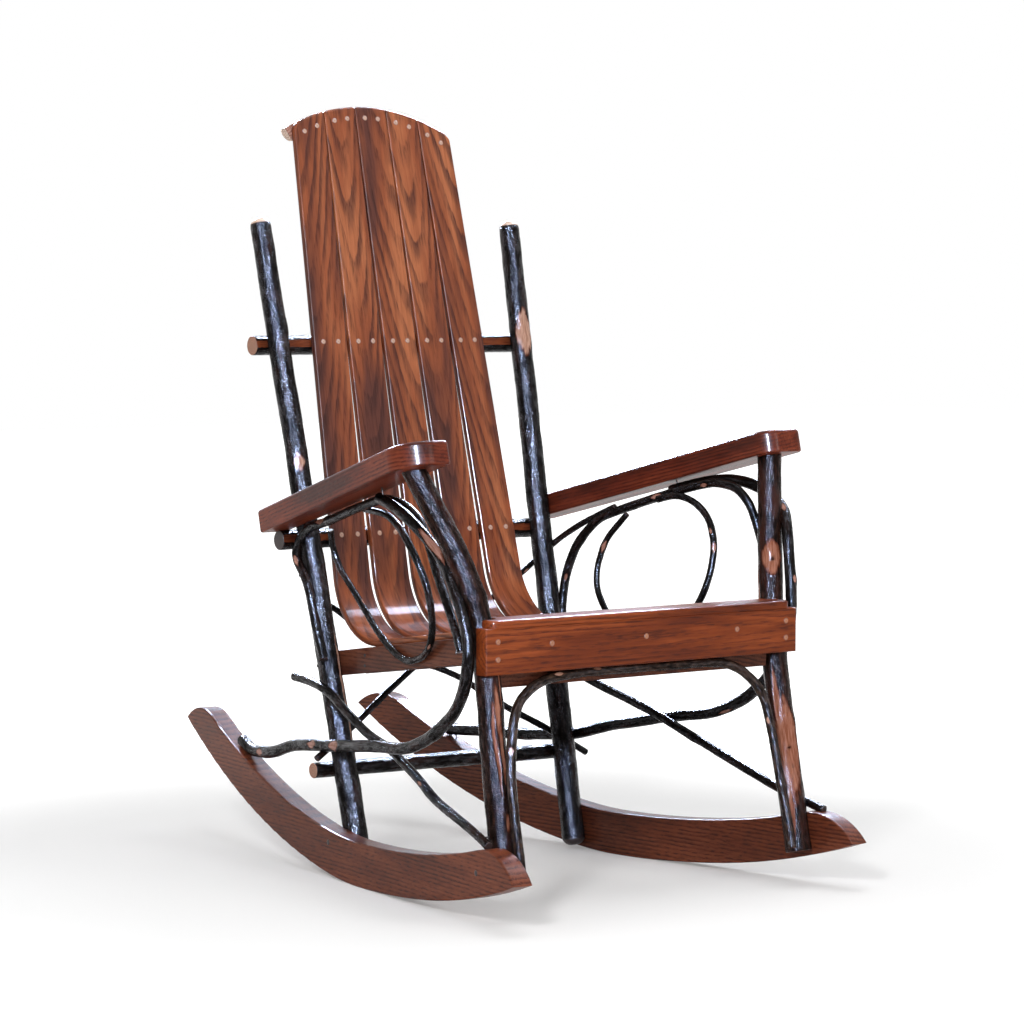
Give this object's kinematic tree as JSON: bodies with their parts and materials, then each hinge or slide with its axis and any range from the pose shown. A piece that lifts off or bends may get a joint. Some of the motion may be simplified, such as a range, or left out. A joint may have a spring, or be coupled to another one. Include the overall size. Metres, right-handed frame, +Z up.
{
  "type": "rustic rocking chair",
  "caption": "Rustic rocking chair with bark-covered bent sticks and posts, curved slats that form back and seat, flat sloping arms and board rockers.",
  "frame": {"origin": "on the floor, midway between the rockers, under the middle of the chair's length", "axes": "+Z up, the sitter faces -Y, +X is to the right of someone who looks at the chair's front"},
  "size_m": [0.7017, 1.0382, 1.1228],
  "materials": {
    "oak_boards": "reddish-brown stain under gloss varnish",
    "hickory_bark": "dark bark under gloss varnish",
    "light_plugs": "cut hickory end grain under varnish",
    "rocker_oak": "brown stain under satin varnish",
    "dark_plugs": "dark stained end grain under varnish",
    "zinc_steel": "zinc plated",
    "black_nails": "blackened steel"
  },
  "bodies": {
    "root": {"apron_board": "oak_boards", "apron_plugs": "light_plugs", "apron_screws": "zinc_steel", "arm_arch_left": "hickory_bark", "arm_arch_right": "hickory_bark", "arm_left": "oak_boards", "arm_plugs": "light_plugs", "arm_right": "oak_boards", "arm_screws": "zinc_steel", "back_brace_to_left": "hickory_bark", "back_brace_to_right": "hickory_bark", "back_plugs": "light_plugs", "back_rail_screws": "zinc_steel", "front_arch": "hickory_bark", "front_post_left": "hickory_bark", "front_post_right": "hickory_bark", "front_seat_rail": "oak_boards", "lower_back_rail": "hickory_bark", "pole_nails": "black_nails", "rear_post_left": "hickory_bark", "rear_post_right": "hickory_bark", "rear_seat_rail": "oak_boards", "rear_stretcher": "hickory_bark", "rocker_left": "rocker_oak", "rocker_plugs": "dark_plugs", "rocker_right": "rocker_oak", "rocker_screws": "zinc_steel", "seat_frame_nails": "black_nails", "seat_front_cap": "oak_boards", "seat_screws": "zinc_steel", "side_brace_left": "hickory_bark", "side_brace_right": "hickory_bark", "side_hoop_left": "hickory_bark", "side_hoop_right": "hickory_bark", "side_ring_left": "hickory_bark", "side_ring_right": "hickory_bark", "side_seat_rail_left": "oak_boards", "side_seat_rail_right": "oak_boards", "slat_1": "oak_boards", "slat_2": "oak_boards", "slat_3": "oak_boards", "slat_4": "oak_boards", "slat_5": "oak_boards", "stick_nails": "black_nails", "top_cleat": "hickory_bark", "top_cleat_screws": "zinc_steel", "upper_back_rail": "hickory_bark"}
  },
  "joints": []
}
